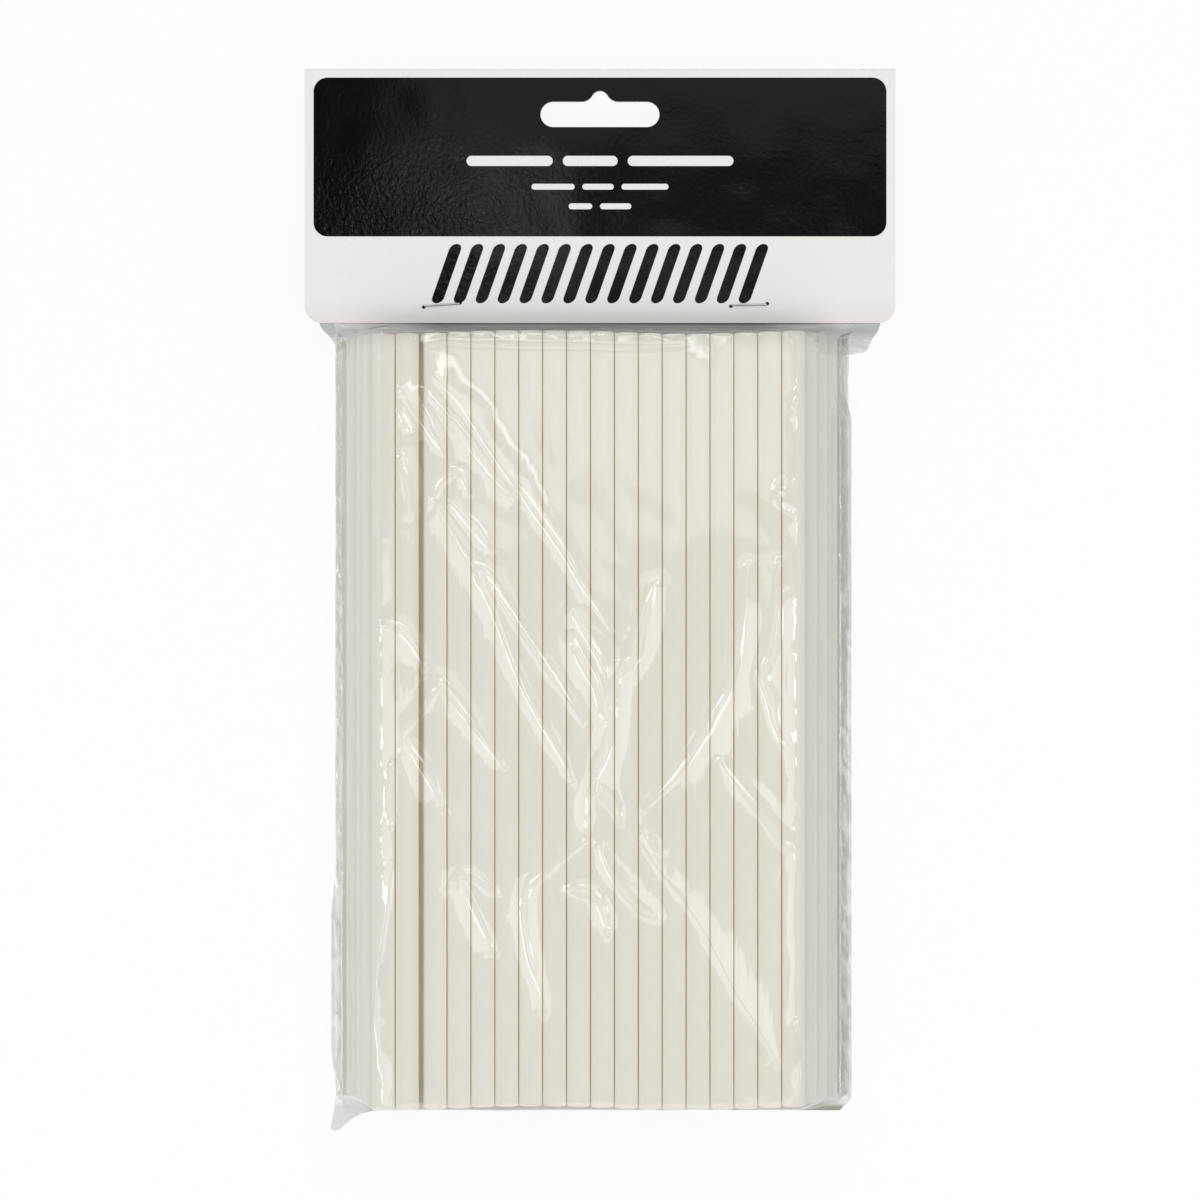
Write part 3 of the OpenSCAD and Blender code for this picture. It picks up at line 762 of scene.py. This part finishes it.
def card_material():
    g = Graph("printed card")
    coordinates = g.add("TexCoord")
    place = coordinates.outputs["Object"]
    split = g.add("SeparateXYZ", {0: place})
    flat = g.add("CombineXYZ", {0: split.outputs[0], 1: split.outputs[1], 2: 0.0}).outputs[0]
    front = g.math("GREATER_THAN", split.outputs[2], (card_high.z - 0.1) * MM)
    panel = g.math("MULTIPLY", soft_box(g, flat, PANEL_X, PANEL_Y, PANEL_R), front)
    pale = 0.0
    for row in PALE_ROWS:
        pale = g.math("MAXIMUM", pale, bar_row(g, flat, *row))
    band = slanted_bars(g, flat, SLANTED_Y, SLANTED_COUNT, SLANTED_PITCH, SLANTED_W, SLANT)
    band = g.math("MULTIPLY", band, front)
    ink = g.math("MAXIMUM", g.math("MULTIPLY", panel, g.math("SUBTRACT", 1.0, pale)), band)
    # Painted shade in the staples' leg holes is printed with the black ink
    ink = g.math("MAXIMUM", ink, g.math("MULTIPLY", leg_hole_shade(g, flat), front))

    peel = g.noise(g.vector("MULTIPLY", place, (900.0, 700.0, 900.0)), 1.0, 3.0, 0.5)
    wave = g.noise(place, 55.0, 1.0)
    grain = g.noise(place, 1800.0, 2.0)
    low_left = g.math("MULTIPLY",
                      g.between_mm(split.outputs[0], -10, -50),
                      g.between_mm(split.outputs[1], CARD_TOP - 20, CARD_TOP - 38))
    strength = g.between(low_left, 0.0, 1.0, 0.25, 1.0)
    surface = g.math("MULTIPLY", peel, strength)
    surface = g.math("ADD", surface, g.math("MULTIPLY", wave, 4.0))
    board = g.colour(grain, (0.745, 0.74, 0.725, 1), (0.805, 0.795, 0.78, 1))
    # Painted shade on the board, deepening towards the card's lower edge beside the film's shoulder
    lower_edge_shade = g.between_mm(split.outputs[1], card_foot + 7, card_foot)
    board = g.colour(lower_edge_shade, board, (0.72, 0.695, 0.68, 1))
    # The black ink's cloudy variation is a painted reflection
    black = g.colour(g.noise(place, 22.0, 2.0, 0.8), grey(0.0005), grey(0.002))
    paint = g.colour(ink, board, black)
    rough = g.between(ink, 0.0, 1.0, 0.34, 0.1)
    inputs = {"Base Color": paint, "Roughness": rough, "Specular IOR Level": 0.12,
              "Normal": g.bump(surface, 0.5, 0.00012)}
    return g.finish(g.add("BsdfPrincipled", inputs).outputs[0])


def wire_material():
    g = Graph("staple wire")
    place = g.add("TexCoord").outputs["Object"]
    drawn = g.noise(g.vector("MULTIPLY", place, (400.0, 5000.0, 5000.0)), 1.0, 2.0)
    colour = g.colour(drawn, (0.42, 0.42, 0.43, 1), (0.66, 0.66, 0.67, 1))
    rough = g.between(drawn, 0.3, 0.7, 0.26, 0.4)
    inputs = {"Base Color": colour, "Metallic": 1.0, "Roughness": rough,
              "Normal": g.bump(drawn, 0.15, 0.00003)}
    return g.finish(g.add("BsdfPrincipled", inputs).outputs[0])


# Share of plain white in what the camera and mirrors see of the floor, beside its lit paint
FLOOR_GLOW = 0.9


def floor_material():
    """A white floor that shows white to the camera and keeps the shadow."""
    g = Graph("white floor")
    paint = g.add("BsdfDiffuse", {"Color": grey(0.9)}).outputs[0]
    glow = g.add("Emission", {"Color": grey(1.0), "Strength": 1.0}).outputs[0]
    rays = g.add("LightPath")
    seen = g.math("MAXIMUM", rays.outputs["Is Camera Ray"], rays.outputs["Is Glossy Ray"])
    share = g.math("MULTIPLY", seen, FLOOR_GLOW)
    return g.finish(g.add("MixShader", {0: share, 1: paint, 2: glow}).outputs[0])


def paint_node(name, material):
    """Gives a carried-over CAD node its material."""
    obj = nodes[name]
    obj.data.materials.clear()
    obj.data.materials.append(material)


# How far the floor lies under the pack, so that the two don't share a plane
FLOOR_DROP = 0.0002


def make_floor():
    half = 3.0
    corners = [(-half, -half, 0), (half, -half, 0), (half, half, 0), (-half, half, 0)]
    mesh = bpy.data.meshes.new("floor")
    mesh.from_pydata(corners, [], [(0, 1, 2, 3)])
    floor = bpy.data.objects.new("floor", mesh)
    floor.location.z = -FLOOR_DROP
    mesh.materials.append(floor_material())
    bpy.context.scene.collection.objects.link(floor)


# Brightness of the white world as plain light, and of what mirrors see of it straight overhead
WORLD_LIGHT = 0.63
OVERHEAD = 0.25
# Angles from straight overhead between which what mirrors see of the world grows to white
OVERHEAD_ANGLES = (24, 46)
# Soft panels round the place above the pack that the flat film mirrors, a fainter one that veils its
# upper part, and small bright lamps that its creases catch: their middle, size along x and y, and
# brightness
LAMP_HEIGHT = 1.25
LAMPS = (
    ("panel_top", 0.24, 0.455, 0.75, 0.30, 1.5),
    ("panel_veil", 0.04, 0.12, 0.30, 0.13, 0.8),
    ("panel_card", -0.085, 0.268, 0.11, 0.05, 5),
    ("panel_left", -0.43, -0.30, 0.46, 0.64, 1.4),
    ("panel_right", 0.43, -0.30, 0.46, 0.64, 1.4),
    ("panel_foot", 0.0, -0.63, 0.36, 0.4, 1.0),
    ("glint_left", -0.80, -0.13, 0.24, 0.08, 7),
    ("glint_right", 0.80, -0.05, 0.24, 0.10, 7),
    ("glint_upper_right", 0.70, 0.56, 0.16, 0.34, 8),
    ("glint_lower_left", -0.70, -0.42, 0.16, 0.34, 8),
    ("glint_lower_right", 0.75, -0.50, 0.16, 0.26, 8),
    ("glint_upper_left", -0.70, 0.50, 0.16, 0.26, 8),
    ("spark_left", -0.24, -0.25, 0.07, 0.30, 8),
    ("spark_right", 0.27, -0.13, 0.07, 0.30, 8),
    ("spark_top", 0.05, 0.225, 0.24, 0.03, 3.5),
    ("spark_foot", -0.30, -0.43, 0.14, 0.06, 6),
    ("spark_low", 0.32, -0.40, 0.12, 0.08, 6),
)


def make_world():
    """White all round as light and as a background. What the film and the print mirror is white
    low down and darker overhead, where the lamps hang."""
    world = bpy.data.worlds.new("white studio")
    world.use_nodes = True
    tree = world.node_tree
    background = tree.nodes["Background"]
    background.inputs["Color"].default_value = grey(1.0)

    def value_of(operation, first, second):
        node = tree.nodes.new("ShaderNodeMath")
        node.operation = operation
        for socket, value in zip(node.inputs, (first, second)):
            if isinstance(value, bpy.types.NodeSocket):
                tree.links.new(value, socket)
            else:
                socket.default_value = value
        return node.outputs[0]

    rays = tree.nodes.new("ShaderNodeLightPath")
    direction = tree.nodes.new("ShaderNodeTexCoord").outputs["Generated"]
    split = tree.nodes.new("ShaderNodeSeparateXYZ")
    tree.links.new(direction, split.inputs[0])
    mirrored = tree.nodes.new("ShaderNodeMapRange")
    dark, white = OVERHEAD_ANGLES
    mirrored.inputs["From Min"].default_value = math.cos(math.radians(dark))
    mirrored.inputs["From Max"].default_value = math.cos(math.radians(white))
    mirrored.inputs["To Min"].default_value = OVERHEAD
    mirrored.inputs["To Max"].default_value = 1.0
    tree.links.new(split.outputs["Z"], mirrored.inputs["Value"])
    seen = value_of("MAXIMUM", rays.outputs["Is Camera Ray"], rays.outputs["Is Transmission Ray"])
    glossy = value_of("MULTIPLY", rays.outputs["Is Glossy Ray"], mirrored.outputs["Result"])
    other = value_of("MAXIMUM", seen, rays.outputs["Is Glossy Ray"])
    plain = value_of("SUBTRACT", 1.0, other)
    light = value_of("MULTIPLY", plain, WORLD_LIGHT)
    strength = value_of("ADD", value_of("ADD", seen, glossy), light)
    tree.links.new(strength, background.inputs["Strength"])
    bpy.context.scene.world = world


def make_lamps():
    for name, x, y, width, length, radiance in LAMPS:
        data = bpy.data.lights.new(name, "AREA")
        data.shape = "RECTANGLE"
        data.size = width
        data.size_y = length
        data.energy = radiance * math.pi * width * length
        lamp = bpy.data.objects.new(name, data)
        lamp.location = (x, y, LAMP_HEIGHT)
        bpy.context.scene.collection.objects.link(lamp)


# The camera's height above the floor, its focal length in pixels and the width of its frame
CAMERA_HEIGHT = 0.7448
FOCAL_PX = 2857.7
FRAME_PX = 1200


def make_camera():
    """Straight above the pack's middle, at the distance that its rows' perspective gives."""
    data = bpy.data.cameras.new("camera")
    data.sensor_width = 36.0
    data.sensor_height = 36.0
    data.sensor_fit = "HORIZONTAL"
    data.lens = FOCAL_PX / FRAME_PX * data.sensor_width
    camera = bpy.data.objects.new("camera", data)
    camera.location = (0, 0, CAMERA_HEIGHT)
    bpy.context.scene.collection.objects.link(camera)
    bpy.context.scene.camera = camera


make_camera()
make_world()
make_lamps()
make_floor()

film = make_film()
film.data.materials.append(film_material())
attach(film, "root")
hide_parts("bag")

paint_node("header_card", card_material())
paper = straw_material()
wire = wire_material()
for name in nodes:
    if "straw" in name:
        paint_node(name, paper)
    elif name.startswith("staple"):
        paint_node(name, wire)

bpy.context.scene.view_settings.view_transform = "Standard"
